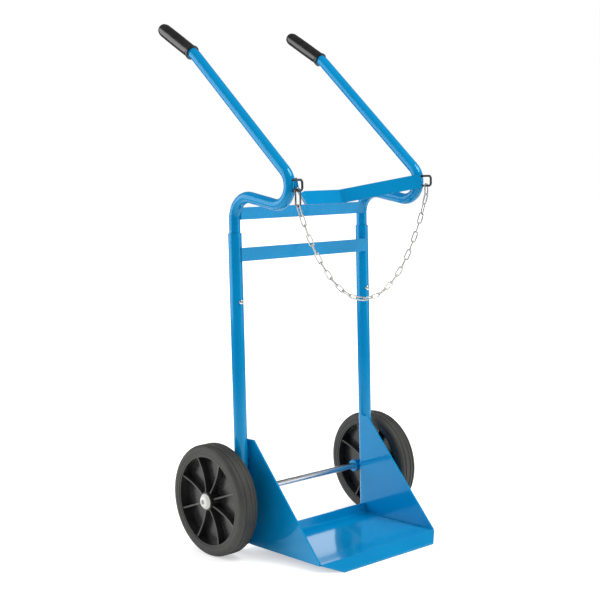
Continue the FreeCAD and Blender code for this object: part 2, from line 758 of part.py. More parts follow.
def make_cradle_bar():
    """A flat bar bent forward at two corners, its arms resting on the tubes' front bends."""
    body = new_body("cradle_bar")
    tilt = math.radians(size("cradle_tilt_angle"))
    half_centre = radius_of("cradle_centre_width")
    thickness = size("bar_thickness")
    half_height = size("cradle_bar_height") / 2
    tube_touch = handle_radius + size("cradle_weld_gap")
    # Seen square to the tilted bar, the tube's front bend is a circle that the arm's back face touches
    lean = half_height * math.sin(tilt)
    root = FreeCAD.Vector(-size("cradle_centre_reach") - lean, amount(CRADLE_FOOT), 0)
    to_bend = front_centre - root
    run = size("front_bend_radius") - to_bend.x * math.cos(tilt) + to_bend.y * math.sin(tilt)
    side_step = half_spacing - half_centre
    arm_angle = math.atan2(run, side_step) + math.asin(tube_touch / math.hypot(run, side_step))
    arm_length = math.sqrt(run ** 2 + side_step ** 2 - tube_touch ** 2) + size("cradle_end_overlap")
    end_across = half_centre + arm_length * math.cos(arm_angle)
    end_forward = arm_length * math.sin(arm_angle)
    inner_step = thickness * math.tan(arm_angle / 2)
    right_half = [
        (half_centre - inner_step, -thickness),
        (end_across - thickness * math.sin(arm_angle), -end_forward - thickness * math.cos(arm_angle)),
        (end_across, -end_forward),
        (half_centre, 0.0),
    ]
    left_half = [(-across, up) for across, up in reversed(right_half)]
    outline = new_sketch(body, "XY_Plane", "cradle_outline")
    draw_outline(outline, right_half + left_half)
    bar = pad(body, outline, "Sizes.cradle_bar_height")

    def is_outer_bend(edge):
        middle = edge.CenterOfMass
        return abs(abs(middle.x) - half_centre) + abs(middle.y) < size("seat_clearance")

    def is_inner_bend(edge):
        middle = edge.CenterOfMass
        off_corner = abs(abs(middle.x) - half_centre + inner_step) + abs(middle.y + thickness)
        return off_corner < size("seat_clearance")

    outside = round_edges(body, bar, "Sizes.cradle_bend_radius + Sizes.bar_thickness", is_outer_bend)
    round_edges(body, outside, "Sizes.cradle_bend_radius", is_inner_bend)
    place(body, 0.0, root.x, root.y, X_WAY, -size("cradle_tilt_angle"))


def make_chain_eye(side, sign):
    """A wire staple on the front of the handle's front bend."""
    body = new_body("chain_eye_" + side)
    wall = -front_centre.x + eye_wall_reach
    front = wall + size("eye_reach")
    top = front_centre.y + size("eye_rise") / 2
    foot = front_centre.y - size("eye_rise") / 2
    spine = new_sketch(body, "YZ_Plane", "eye_route_" + side)
    draw_bent_path(spine, [(-wall, top), (-front, top), (-front, foot), (-wall, foot)],
                   ["Sizes.eye_bend_radius", "Sizes.eye_bend_radius"])
    ring = new_sketch(body, "XZ_Plane", "eye_wire_" + side, wall)
    draw_circle(ring, 0.0, top, "Sizes.eye_wire / 2")
    sweep(body, ring, spine)
    place(body, sign * half_spacing)


eye_leg_inside = size("eye_rise") / 2 - radius_of("eye_wire")
eye_wall_reach = math.sqrt(front_tube_reach ** 2 - eye_leg_inside ** 2) + size("seat_clearance")


# Chain and snap hook

chain_depth = -(-front_centre.x + front_tube_reach + size("chain_reach"))
eye_leg_height = front_centre.y - size("eye_rise") / 2
wire_radius = radius_of("chain_wire")
hook_radius = radius_of("hook_wire")
# The hook's and the end link's top wires turn about one line above the eyes' lower legs
swing_height = eye_leg_height + radius_of("eye_wire") + size("seat_clearance") + hook_radius


def make_link(start, end, plane_normal):
    """One oval link whose end wires lie at two points, flat across the normal."""
    bend = size("link_inner_width") / 2 + wire_radius
    along = (end - start).normalize()
    across = along.cross(plane_normal).normalize() * bend
    first = start + along * bend
    second = end - along * bend
    edges = [
        Part.LineSegment(first + across, second + across).toShape(),
        Part.Arc(second + across, end, second - across).toShape(),
        Part.LineSegment(second - across, first - across).toShape(),
        Part.Arc(first - across, start, first + across).toShape(),
    ]
    return wire_ring(edges, first + across, along, wire_radius)


def hanging_points(left, right, length, count):
    """Points at even steps along a chain that hangs between two points."""
    span = right.x - left.x
    rise = right.z - left.z
    target = math.sqrt(length ** 2 - rise ** 2)
    low, high = span / length ** 2, span * length
    for _ in range(200):
        scale = math.sqrt(low * high)
        reach = 2 * scale * math.sinh(min(span / (2 * scale), 50))
        low, high = (scale, high) if reach > target else (low, scale)
    lowest = (left.x + right.x) / 2 - scale * math.atanh(rise / length)
    base = left.z - scale * math.cosh((left.x - lowest) / scale)
    first_arc = scale * math.sinh((left.x - lowest) / scale)
    points = []
    for index in range(count + 1):
        across = lowest + scale * math.asinh((first_arc + length * index / count) / scale)
        points.append(FreeCAD.Vector(across, left.y, base + scale * math.cosh((across - lowest) / scale)))
    return points


def make_chain_links():
    item = doc.addObject("Part::Feature", "chain_links")
    nodes.append(item)
    count = int(size("chain_link_count"))
    pitch = size("link_pitch")
    # Two crossing wires stand a seat clearance apart at each meeting point
    overlap = wire_radius + size("seat_clearance") / 2
    end_top = FreeCAD.Vector(half_spacing, 0, swing_height)
    end_foot = end_top - Z_WAY * (pitch + 2 * overlap)
    hook_foot = FreeCAD.Vector(-half_spacing, 0, swing_height - hook_wire_length)
    left = hook_foot + Z_WAY * (hook_radius + size("seat_clearance"))
    right = end_foot + Z_WAY * overlap
    points = hanging_points(left, right, pitch * count, count)
    links = [make_link(end_top, end_foot, Y_WAY)]
    for index, (start, end) in enumerate(zip(points, points[1:])):
        along = (end - start).normalize()
        middle = (start + end) / 2
        half = along * (pitch / 2 + overlap)
        flat_normal = along.cross(Y_WAY) if index % 2 == 0 else Y_WAY
        # The chain turns about itself a step per link from both ends, up to its full twist
        links_away = min(index, count - 1 - index)
        twist = min(size("chain_twist_angle"), size("chain_twist_step") * links_away)
        turn = FreeCAD.Rotation(along, twist)
        links.append(make_link(middle - half, middle + half, turn.multVec(flat_normal)))
    item.Shape = Part.makeCompound(links)
    place(item, 0.0, chain_depth)


hook_wire_length = size("hook_inner_length") + size("hook_wire")
hook_bend = size("hook_inner_width") / 2 + hook_radius
gate_hinge = FreeCAD.Vector(-hook_bend, 0, -hook_wire_length / 2 - size("gate_hinge_drop"))
gate_tip = gate_hinge + Z_WAY * size("gate_length")


def make_snap_hook():
    """A wire hook open on one side, with a flat tongue for the gate's pin."""
    body = doc.addObject("Part::Feature", "snap_hook")
    nodes.append(body)
    top = FreeCAD.Vector(0, 0, -hook_bend)
    foot = FreeCAD.Vector(0, 0, -hook_wire_length + hook_bend)
    side_step = X_WAY * hook_bend
    nose = gate_tip + Z_WAY * size("seat_clearance")
    tongue_root = gate_hinge - Z_WAY * (size("gate_tongue_length") - hook_radius)
    edges = [
        Part.LineSegment(nose, top - side_step).toShape(),
        Part.Arc(top - side_step, top + Z_WAY * hook_bend, top + side_step).toShape(),
        Part.LineSegment(top + side_step, foot + side_step).toShape(),
        Part.Arc(foot + side_step, foot - Z_WAY * hook_bend, foot - side_step).toShape(),
        Part.LineSegment(foot - side_step, tongue_root).toShape(),
    ]
    wire = wire_ring(edges, nose, Z_WAY, hook_radius)
    thickness = size("gate_tongue_thickness")
    tongue = Part.makeBox(2 * hook_radius - 2 * size("seat_clearance"), thickness,
                          size("gate_tongue_length") + size("seat_clearance"))
    tongue.translate(tongue_root - X_WAY * (hook_radius - size("seat_clearance"))
                     - Y_WAY * (thickness / 2) - Z_WAY * size("seat_clearance"))
    eye = Part.makeCylinder(radius_of("gate_pin_diameter") + size("running_clearance"),
                            size("hook_wire"), gate_hinge - Y_WAY * hook_radius, Y_WAY)
    body.Shape = wire.fuse(tongue).cut(eye).removeSplitter()
    place(body, -half_spacing, chain_depth, swing_height)


def make_hook_gate():
    """The gate's round bar, forked over the tongue and free at its tip."""
    gate = doc.addObject("Part::Feature", "hook_gate")
    nodes.append(gate)
    fork = hook_radius
    bar = Part.makeCylinder(hook_radius, size("gate_length") + fork, gate_hinge - Z_WAY * fork, Z_WAY)
    gap = size("gate_tongue_thickness") + 2 * size("seat_clearance")
    root = size("gate_tongue_length")
    slot = Part.makeBox(2 * size("hook_wire"), gap, root + fork)
    slot.translate(gate_hinge - X_WAY * size("hook_wire") - Y_WAY * (gap / 2) - Z_WAY * fork)
    hole = Part.makeCylinder(radius_of("gate_pin_diameter") + size("press_clearance"),
                             2 * size("hook_wire"), gate_hinge - Y_WAY * size("hook_wire"), Y_WAY)
    gate.Shape = bar.cut(slot).cut(hole)
    place(gate, -half_spacing, chain_depth, swing_height)

    pin_item = doc.addObject("Part::Feature", "gate_pin")
    nodes.append(pin_item)
    pin_item.Shape = Part.makeCylinder(radius_of("gate_pin_diameter"), size("hook_wire"),
                                       gate_hinge - Y_WAY * hook_radius, Y_WAY)
    place(pin_item, -half_spacing, chain_depth, swing_height)


# The whole trolley

for side, sign in SIDES.items():
    make_lower_upright(side, sign)
    make_side_gusset(side, sign)
    make_axle_ring("axle_sleeve_" + side, "Sizes.sleeve_diameter", LOWER_TUBE, sign * half_spacing)
    sleeve_end = half_spacing + lower_tube_radius
    hub_end = wheel_offset - size("hub_length") / 2 - size("seat_clearance")
    make_axle_ring(
        "axle_spacer_" + side, "Sizes.spacer_diameter",
        WHEEL_OFFSET + " - Sizes.hub_length / 2 - Sizes.seat_clearance"
        " - Sizes.upright_spacing / 2 - " + LOWER_TUBE + " / 2",
        sign * (sleeve_end + hub_end) / 2)
    make_lock_screw(side, sign)
    make_tyre(side, sign)
    make_rim(side, sign)
    make_hub_bush(side, sign)
    make_hub_cap(side, sign)
    make_handle_tube(side, sign)
    make_grip(side, sign)
    make_chain_eye(side, sign)
make_crossbar("lower_crossbar", LOWER_TUBE, "lower_bar_height", LOWER_BAR_FOOT, "lower_bar_setback")
make_crossbar("upper_crossbar", "Sizes.handle_tube_diameter", "upper_bar_height", UPPER_BAR_FOOT,
              "upper_bar_setback")
make_toe_plate()
make_axle()
make_cradle_bar()
make_chain_links()
make_snap_hook()
make_hook_gate()

doc.recompute()
for item in doc.Objects:
    if "Invalid" in item.State or "Error" in item.State:
        raise RuntimeError(item.Label + " failed to build")
for node in nodes:
    if node.Shape.isNull() or not node.Shape.isValid():
        raise RuntimeError(node.Label + " has no valid shape")

os.makedirs("parts", exist_ok=True)
for node in nodes:
    node.Shape.exportStep("parts/%s.step" % node.Label)
    box = node.Shape.BoundBox
    print("%-22s %2d solids %10.0f mm3  x %.1f %.1f  y %.1f %.1f  z %.1f %.1f" % (
        node.Label, len(node.Shape.Solids), node.Shape.Volume, box.XMin, box.XMax,
        box.YMin, box.YMax, box.ZMin, box.ZMax))
print("frame shift %.3f, swing height %.3f, chain depth %.3f" % (
    frame_shift, swing_height, chain_depth + frame_shift))
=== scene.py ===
# %% [markdown]
# # A trolley for one gas cylinder
# The construction comes packed from the CAD model as separate named pieces, in metres, standing on
# the floor at z = 0. This lesson adds what the eye needs: finishes, welds, a real tread, smooth
# links and a studio. The CAD pieces are never moved. What is added is placed by asking where a CAD
# piece is, or by a measure read off its drawing.

# %% Load the trolley
import json
import math
import random
from collections import namedtuple

import bpy
import numpy as np
from mathutils import Matrix, Vector


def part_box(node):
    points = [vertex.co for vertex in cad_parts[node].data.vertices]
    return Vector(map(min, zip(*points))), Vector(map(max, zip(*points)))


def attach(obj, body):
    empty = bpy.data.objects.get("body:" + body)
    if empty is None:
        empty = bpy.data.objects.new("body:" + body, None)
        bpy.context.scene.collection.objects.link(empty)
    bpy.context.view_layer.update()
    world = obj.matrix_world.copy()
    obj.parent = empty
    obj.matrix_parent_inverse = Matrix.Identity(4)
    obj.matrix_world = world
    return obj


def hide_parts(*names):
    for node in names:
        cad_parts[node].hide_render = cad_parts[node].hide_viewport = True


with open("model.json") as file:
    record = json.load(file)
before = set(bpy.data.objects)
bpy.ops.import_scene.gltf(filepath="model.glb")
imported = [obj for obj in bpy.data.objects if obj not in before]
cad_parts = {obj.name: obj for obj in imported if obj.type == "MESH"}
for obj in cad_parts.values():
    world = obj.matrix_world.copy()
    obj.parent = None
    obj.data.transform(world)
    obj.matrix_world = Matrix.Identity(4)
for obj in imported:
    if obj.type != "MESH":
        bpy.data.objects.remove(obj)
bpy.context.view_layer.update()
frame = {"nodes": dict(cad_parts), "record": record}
NODES = frame["nodes"]

# %% [markdown]
# ## The camera
# A photograph of an object can be matched by turning a camera until the drawn object lies on the
# seen one. Here the place, the heading, the tilt down and a small roll were worked out from the
# uprights, the wheel and the toe plate. The camera's own axes are built from those angles, because
# a matrix leaves no doubt about the order of turns.

# %% Place the camera
CAMERA_PLACE = Vector((-1.8978, -2.11006, 0.8529))
HEADING = math.radians(41.716)
TILT_DOWN = math.radians(6.042)
ROLL = math.radians(-1.301)
PICTURE_SIDE = 600
FOCAL_PIXELS = 1239.68
SENSOR_WIDTH = 36


def camera_axes():
    """The camera's right, up and viewing directions."""
    ahead = Vector((math.sin(HEADING) * math.cos(TILT_DOWN),
                    math.cos(HEADING) * math.cos(TILT_DOWN),
                    -math.sin(TILT_DOWN)))
    level = Vector((math.cos(HEADING), -math.sin(HEADING), 0))
    upright = level.cross(ahead)
    right = level * math.cos(ROLL) + upright * math.sin(ROLL)
    up = upright * math.cos(ROLL) - level * math.sin(ROLL)
    return right, up, ahead


def place_camera():
    """Adds the camera with its axes in the columns of its matrix."""
    right, up, ahead = camera_axes()
    bpy.ops.object.camera_add()
    camera = bpy.context.object
    camera.name = "studio_camera"
    turn = Matrix((right, up, -ahead)).transposed().to_4x4()
    camera.matrix_world = Matrix.Translation(CAMERA_PLACE) @ turn
    camera.data.sensor_width = SENSOR_WIDTH
    camera.data.lens = SENSOR_WIDTH * FOCAL_PIXELS / PICTURE_SIDE
    bpy.context.scene.camera = camera
    return camera


print("camera lens %.2f mm" % place_camera().data.lens)

# %% [markdown]
# ## The studio
# The trolley stands on a pale floor with nothing else in sight. A floor that is lit until it is
# white would burn out the paint too. So the floor's own shading keeps the shadow, and a little glow
# that only the camera sees lifts it to white. Glossy pieces see a brighter floor near by and a dim
# room beyond it, which gives the paint its deep colour. A finish is a tree of nodes, and each
# socket of a node is either linked to another node or set to a number, so one helper does both.

# %% Mix the floor paint
FLOOR_GLOW = 0.5
FLOOR_TONE = 0.8
MIRRORED_TONE = 1.35
LIT_FLOOR = (1.2, 2.4)
ROOM_LEVEL = 0.12


def add_node(tree, kind, sockets=None, operation=None):
    """Adds a node. Each socket that is named gets a link from an output, or a number."""
    node = tree.nodes.new(kind)
    if operation:
        node.operation = operation
    for socket, value in (sockets or {}).items():
        if isinstance(value, bpy.types.NodeSocket):
            tree.links.new(value, node.inputs[socket])
        else:
            node.inputs[socket].default_value = value
    return node


def studio_floor_finish():
    """Pale floor paint, with the glow added for rays from the camera."""
    finish = bpy.data.materials.new("studio_floor_paint")
    finish.use_nodes = True
    tree = finish.node_tree
    tree.nodes.clear()
    path = add_node(tree, "ShaderNodeLightPath")
    place = add_node(tree, "ShaderNodeTexCoord")
    away = add_node(tree, "ShaderNodeVectorMath", {0: place.outputs["Object"]}, "LENGTH")
    dusk = add_node(tree, "ShaderNodeMapRange", {
        "Value": away.outputs["Value"], "From Min": LIT_FLOOR[0], "From Max": LIT_FLOOR[1]})
    mirrored = add_node(tree, "ShaderNodeMapRange", {
        "Value": dusk.outputs["Result"], "To Min": MIRRORED_TONE, "To Max": ROOM_LEVEL})
    tone = add_node(tree, "ShaderNodeMix", {
        "Factor": path.outputs["Is Glossy Ray"], "A": FLOOR_TONE, "B": mirrored.outputs["Result"]})
    paint = add_node(tree, "ShaderNodeBsdfDiffuse", {"Color": tone.outputs["Result"]})
    lift = add_node(tree, "ShaderNodeMapRange", {
        "Value": dusk.outputs["Result"], "To Min": FLOOR_GLOW, "To Max": 1})
    strength = add_node(tree, "ShaderNodeMath", {
        0: path.outputs["Is Camera Ray"], 1: lift.outputs["Result"]}, "MULTIPLY")
    glow = add_node(tree, "ShaderNodeEmission", {"Strength": strength.outputs[0]})
    both = add_node(tree, "ShaderNodeAddShader", {0: paint.outputs[0], 1: glow.outputs[0]})
    add_node(tree, "ShaderNodeOutputMaterial", {"Surface": both.outputs[0]})
    return finish


floor_paint = studio_floor_finish()
print(floor_paint.name, len(floor_paint.node_tree.nodes), "nodes")

# %% Lay the floor
FLOOR_SIDE = 40


def deselect_all():
    """Leaves object mode with nothing selected, so that an operator acts on new work only."""
    if bpy.context.mode != "OBJECT":
        bpy.ops.object.mode_set(mode="OBJECT")
    bpy.ops.object.select_all(action="DESELECT")


deselect_all()
bpy.ops.mesh.primitive_plane_add(size=FLOOR_SIDE)
floor = bpy.context.object
floor.name = "studio_floor"
floor.data.materials.append(floor_paint)
print("floor", FLOOR_SIDE, "m")

# %% [markdown]
# ## The lights
# Glossy paint shows what stands round it, so the lights are chosen by what the paint mirrors. A
# lamp above lights the trolley, a white card at the right lifts the flat bars, and a wide lamp
# behind the left side draws a pale band along the tubes. A white card behind, which the camera
# doesn't see, gives the toe plate its bright patch between the mirrored flange and axle. Spots
# would do for the light alone, but flat panels give soft shadows and calm reflections.

# %% Light the sky
WORLD_LIGHT = 0.6


def light_the_world():
    """An even sky for the light, a white backdrop for the camera and a dim room in mirrors."""
    world = bpy.data.worlds.new("studio_sky")
    world.use_nodes = True
    bpy.context.scene.world = world
    tree = world.node_tree
    sky = tree.nodes["Background"]
    sky.inputs["Color"].default_value = (1, 1, 1, 1)
    path = add_node(tree, "ShaderNodeLightPath")
    seen = add_node(tree, "ShaderNodeMapRange", {
        "Value": path.outputs["Is Camera Ray"], "To Min": WORLD_LIGHT, "To Max": 1})
    level = add_node(tree, "ShaderNodeMix", {
        "Factor": path.outputs["Is Glossy Ray"], "A": seen.outputs["Result"], "B": ROOM_LEVEL})
    tree.links.new(level.outputs["Result"], sky.inputs["Strength"])
    return world


print(light_the_world().name, "gives", WORLD_LIGHT)

# %% Hang the lamps
MIDDLE = (0, 0, 0.55)
OVER_PLATE = (0, 0, 0.1)
WARM_WHITE = (1, 1, 0.86)


def soft_box(name, place, target, width, height, watts):
    """A flat rectangular lamp that faces its target."""
    bpy.ops.object.light_add(type="AREA", location=place)
    lamp = bpy.context.object
    lamp.name = name
    lamp.data.shape = "RECTANGLE"
    lamp.data.size = width
    lamp.data.size_y = height
    lamp.data.energy = watts
    lamp.rotation_euler = (Vector(target) - Vector(place)).to_track_quat("-Z", "Y").to_euler()
    print(name, watts, "W")
    return lamp


key_light = soft_box("key_light", place=(0.8, -1.8, 3.2), target=MIDDLE,
                     width=1.6, height=1.6, watts=74)
key_light.data.color = WARM_WHITE
soft_box("white_card", place=(2.6, -2.7, 0.9), target=MIDDLE, width=2.4, height=1.8, watts=18)
soft_box("edge_light", place=(-2.2, 2.0, 1.3), target=MIDDLE, width=3.2, height=2.4, watts=60)
back_card = soft_box("back_card", place=(1.55, 1.65, 0.75), target=OVER_PLATE,
                     width=1.4, height=0.8, watts=5)
back_card.visible_camera = False
bpy.context.scene.view_settings.view_transform = "Standard"

# %% [markdown]
# ## Finishes
# In each finish, a pattern read at the piece's own coordinates drives the colour, the roughness and
# a fine bump, and one shader turns them into paint, rubber or metal. Each could be a tree of its
# own, but these finishes differ only in their numbers, so one helper builds them all. What is the
# same all over a piece is set on the shader itself.

# %% Mix the blue paint
CLOUD_DETAIL = 4
CLOUD_RANGE = (0.3, 0.7)
BUMP_DISTANCE = 0.0005


def make_finish(name, dark, light, rough, grain, stretch=(1, 1, 1), bump=0.1, bump_grain=400,
                **shader):
    """A finish whose colour and roughness wander between two values, with a fine bump."""
    finish = bpy.data.materials.new(name)
    finish.use_nodes = True
    tree = finish.node_tree
    skin = tree.nodes["Principled BSDF"]
    place = add_node(tree, "ShaderNodeTexCoord")
    turn = add_node(tree, "ShaderNodeMapping", {
        "Vector": place.outputs["Object"], "Scale": stretch})
    cloud = add_node(tree, "ShaderNodeTexNoise", {
        "Vector": turn.outputs["Vector"], "Scale": grain, "Detail": CLOUD_DETAIL})
    tint = add_node(tree, "ShaderNodeValToRGB", {"Fac": cloud.outputs["Fac"]})
    for stop, position, colour in zip(tint.color_ramp.elements, CLOUD_RANGE, (dark, light)):
        stop.position = position
        stop.color = (*colour, 1)
    gloss = add_node(tree, "ShaderNodeMapRange", {
        "Value": cloud.outputs["Fac"], "To Min": rough[0], "To Max": rough[1]})
    fine = add_node(tree, "ShaderNodeTexNoise", {
        "Vector": turn.outputs["Vector"], "Scale": bump_grain})
    relief = add_node(tree, "ShaderNodeBump", {
        "Height": fine.outputs["Fac"], "Strength": bump, "Distance": BUMP_DISTANCE})
    tree.links.new(tint.outputs["Color"], skin.inputs["Base Color"])
    tree.links.new(gloss.outputs["Result"], skin.inputs["Roughness"])
    tree.links.new(relief.outputs["Normal"], skin.inputs["Normal"])
    for socket, value in shader.items():
        skin.inputs[socket.replace("_", " ")].default_value = value
    return finish


FINISHES = {
    "blue_paint": make_finish(
        "glossy_blue_paint", dark=(0.001, 0.228, 0.53), light=(0.001, 0.256, 0.585),
        rough=(0.08, 0.14), grain=7, bump=0.006, bump_grain=260, Specular_IOR_Level=0.5,
        Specular_Tint=(0.3, 0.85, 1, 1), Coat_Weight=0.12, Coat_Roughness=0.05),
}
print("finishes:", sorted(FINISHES))

# %% Mix the metals
FINISHES.update({
    "bright_axle": make_finish(
        "drawn_bright_steel", dark=(0.66, 0.67, 0.69), light=(0.8, 0.8, 0.81),
        rough=(0.24, 0.34), grain=60, stretch=(0.1, 1, 1), bump=0.05, bump_grain=900, Metallic=1),
    "zinc_steel": make_finish(
        "zinc_plated_steel", dark=(0.55, 0.56, 0.58), light=(0.74, 0.74, 0.74),
        rough=(0.2, 0.38), grain=90, bump=0.06, Metallic=1),
    "zinc_chain": make_finish(
        "zinc_plated_wire", dark=(0.54, 0.54, 0.54), light=(0.68, 0.68, 0.67),
        rough=(0.42, 0.56), grain=120, bump=0.1, Metallic=1),
    "eye_steel": make_finish(
        "black_lacquered_wire", dark=(0.012, 0.013, 0.016), light=(0.03, 0.032, 0.036),
        rough=(0.25, 0.4), grain=90),
    "hook_steel": make_finish(
        "dull_plated_steel", dark=(0.16, 0.16, 0.17), light=(0.3, 0.3, 0.31),
        rough=(0.22, 0.36), grain=80, Metallic=1),
})
print("finishes:", sorted(FINISHES))

# %% Mix the rubber and the plastics
FINISHES.update({
    "tyre_rubber": make_finish(
        "grey_tyre_rubber", dark=(0.028, 0.028, 0.028), light=(0.042, 0.042, 0.041),
        rough=(0.5, 0.7), grain=22, bump=0.2, bump_grain=700),
    "rim_plastic": make_finish(
        "black_moulded_plastic", dark=(0.013, 0.013, 0.014), light=(0.026, 0.026, 0.027),
        rough=(0.19, 0.3), grain=35, bump=0.12, bump_grain=900),
    "bush_nylon": make_finish(
        "grey_nylon", dark=(0.36, 0.36, 0.35), light=(0.45, 0.45, 0.44),
        rough=(0.4, 0.55), grain=60),
    "cap_plastic": make_finish(
        "white_cap_plastic", dark=(0.74, 0.75, 0.74), light=(0.82, 0.82, 0.81),
        rough=(0.28, 0.4), grain=40, bump=0.05),
    "grip_vinyl": make_finish(
        "black_dipped_vinyl", dark=(0.008, 0.008, 0.009), light=(0.018, 0.018, 0.02),
        rough=(0.2, 0.34), grain=45, bump=0.15, bump_grain=500, Coat_Weight=0.4,
        Coat_Roughness=0.15),
})
print("finishes:", len(FINISHES))

# %% [markdown]
# ### The CAD pieces
# Tubes, bars, sheets and rims are right as they come from CAD, so they only need their finish. The
# record names a material slot for each piece, which saves a second list here.

# %% Dress the CAD pieces
SLOT_OF = {row["node"]: row["material_slot"] for row in frame["record"]["subparts"]}
for name, piece in NODES.items():
    piece.data.materials.clear()
    piece.data.materials.append(FINISHES[SLOT_OF[name]])
print("dressed", len(NODES), "pieces")

# %% [markdown]
# ## Turned pieces
# Tyres, hub caps, grips and screw heads are round about an axis. They could be cut from cylinders
# ring by ring, but a lathe is quicker: a circle gives a closed line of points, each point goes to
# its place on the half section, and Spin carries that section once round. The seam and the poles
# are merged, and the normals are turned outwards.

# %% A lathe
AXLE_LINE = (0.0, sum(corner.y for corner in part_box("axle")) / 2,
             sum(corner.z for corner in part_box("axle")) / 2)
MERGE_DISTANCE = 1e-6


def turn_section(name, section, steps):
    """Spins a closed half section of (length, radius) pairs about the X axis."""
    deselect_all()
    bpy.ops.mesh.primitive_circle_add(vertices=len(section), radius=section[0][1])
    piece = bpy.context.object
    piece.name = name
    for vertex, (length, radius) in zip(piece.data.vertices, section):
        vertex.co = (length, 0, radius)
    bpy.ops.object.mode_set(mode="EDIT")
    bpy.ops.mesh.select_all(action="SELECT")
    bpy.ops.mesh.spin(steps=steps, angle=math.tau, center=(0, 0, 0), axis=(1, 0, 0))
    bpy.ops.mesh.select_all(action="SELECT")
    bpy.ops.mesh.remove_doubles(threshold=MERGE_DISTANCE)
    bpy.ops.mesh.normals_make_consistent(inside=False)
    bpy.ops.object.mode_set(mode="OBJECT")
    return piece


print("axle line at y %.4f, z %.4f" % AXLE_LINE[1:])

# %% Helpers for a finished piece
MM_PER_METRE = 1000
SMOOTH_ANGLE = 35


def millimetres(*pairs):
    """Points in millimetres, as they are read off a drawing, turned to metres."""
    return [tuple(number / MM_PER_METRE for number in pair) for pair in pairs]


def pick(piece):
    """Selects one piece alone and makes it active."""
    deselect_all()
    piece.select_set(True)
    bpy.context.view_layer.objects.active = piece


def settle(piece, place, turn=(0, 0, 0)):
    """Puts a piece in its place and writes that place into its mesh."""
    pick(piece)
    piece.location = place
    piece.rotation_euler = turn
    bpy.ops.object.transform_apply(location=True, rotation=True, scale=True)
    return piece


def dress(piece, slot, body, *replaced, angle=SMOOTH_ANGLE):
    """Gives a finished piece its finish and its body, and hides the CAD pieces that it stands for.
    """
    pick(piece)
    bpy.ops.object.shade_smooth_by_angle(angle=math.radians(angle))
    piece.data.materials.clear()
    piece.data.materials.append(FINISHES[slot])
    if replaced:
        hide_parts(*replaced)
    print(piece.name, len(piece.data.polygons), "faces, rides on", body)
    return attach(piece, body)


print("finished pieces are smoothed up to", SMOOTH_ANGLE, "degrees")

# %% [markdown]
# ### Tyres
# The tyre is a band of solid rubber with a flat wall, thin moulded rings on the wall and three
# grooves round the tread. The CAD tyre has the main form. The turned one has the fine rings and
# rounded shoulders too, and it stays inside the same outline, because grooves only go inwards.

# %% Turn the tyres
SIDES = {"left": -1, "right": 1}
TYRE_STEPS = 120
TYRE_HALF = millimetres(
    (23.4, 102.1), (24.0, 102.2), (24.2, 102.6), (24.2, 104.4), (24.0, 104.8), (23.9, 105.6),
    (24.0, 108.6), (24.4, 109.2), (24.9, 109.6), (25.0, 110.2), (25.0, 113.4), (24.9, 114.6),
    (24.5, 116.6), (23.7, 118.6), (22.5, 120.5), (20.9, 122.1), (19.1, 123.4), (17.2, 124.3),
    (15.4, 124.8), (14.5, 124.9), (14.2, 124.8), (14.1, 124.4), (14.0, 123.8), (13.4, 123.7),
    (10.6, 123.7), (10.1, 123.8), (10.0, 124.4), (9.9, 124.8), (9.6, 124.95), (5.0, 125.0),
    (4.7, 124.9), (4.6, 124.4), (4.5, 123.9), (4.0, 123.8), (0.0, 123.8))


def make_tyre(side, middle):
    """A tyre whose second half section is the first one mirrored."""
    mirrored = [(-length, radius) for length, radius in reversed(TYRE_HALF[:-1])]
    tyre = turn_section("ribbed_tyre_" + side, TYRE_HALF + mirrored, TYRE_STEPS)
    settle(tyre, (middle, AXLE_LINE[1], AXLE_LINE[2]))
    return dress(tyre, "tyre_rubber", "wheel_" + side, "tyre_" + side)


for side in SIDES:
    low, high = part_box("tyre_" + side)
    make_tyre(side, (low.x + high.x) / 2)

# %% [markdown]
# ### Hub caps
# A white plastic cap is pushed on each end of the axle. It has a thin lip, a crowned face and a
# small dimple where it was moulded. The section starts at the cap's flat back and ends at the
# middle of the dimple. Shade is painted into the dimple: the cap's finish is darkened there by the
# distance from the axle line, which serves both caps at once.

# %% Paint shade into the dimples
DIMPLE_EDGE = (0.0046, 0.0058)
DIMPLE_SHADE = 0.42
ACROSS_AXLE = (0, 1, 1)


def paint_dimple_shade(finish):
    """Paints shade into a finish close to the axle line, darkening the caps' dimples."""
    tree = finish.node_tree
    skin = tree.nodes["Principled BSDF"]
    unshaded_colour = skin.inputs["Base Color"].links[0].from_socket
    place = add_node(tree, "ShaderNodeTexCoord")
    offset = add_node(tree, "ShaderNodeVectorMath", {
        0: place.outputs["Object"], 1: AXLE_LINE}, "SUBTRACT")
    across = add_node(tree, "ShaderNodeVectorMath", {
        0: offset.outputs["Vector"], 1: ACROSS_AXLE}, "MULTIPLY")
    away = add_node(tree, "ShaderNodeVectorMath", {0: across.outputs["Vector"]}, "LENGTH")
    # painted shade: the cap's colour is scaled down towards the axle line, inside the dimple
    fade = add_node(tree, "ShaderNodeMapRange", {
        "Value": away.outputs["Value"], "From Min": DIMPLE_EDGE[0], "From Max": DIMPLE_EDGE[1],
        "To Min": DIMPLE_SHADE})
    shaded = add_node(tree, "ShaderNodeVectorMath", {
        0: unshaded_colour, "Scale": fade.outputs["Result"]}, "SCALE")
    tree.links.new(shaded.outputs["Vector"], skin.inputs["Base Color"])


paint_dimple_shade(FINISHES["cap_plastic"])
print("dimples soiled within %.1f mm of the axle line" % (DIMPLE_EDGE[1] * MM_PER_METRE))

# %% Turn the hub caps
CAP_STEPS = 64
CAP_SECTION = millimetres(
    (0, 0), (0, 16.6), (0.3, 17.0), (1.5, 17.0), (1.9, 16.7), (2.0, 15.9), (2.3, 15.4), (3.6, 14.9),
    (5.2, 13.8), (6.6, 12.0), (7.7, 9.8), (8.5, 7.8), (8.9, 6.7), (9.0, 6.2), (8.9, 5.8),
    (8.5, 5.6), (6.7, 5.4), (6.4, 5.0), (6.4, 1.6), (6.5, 0))

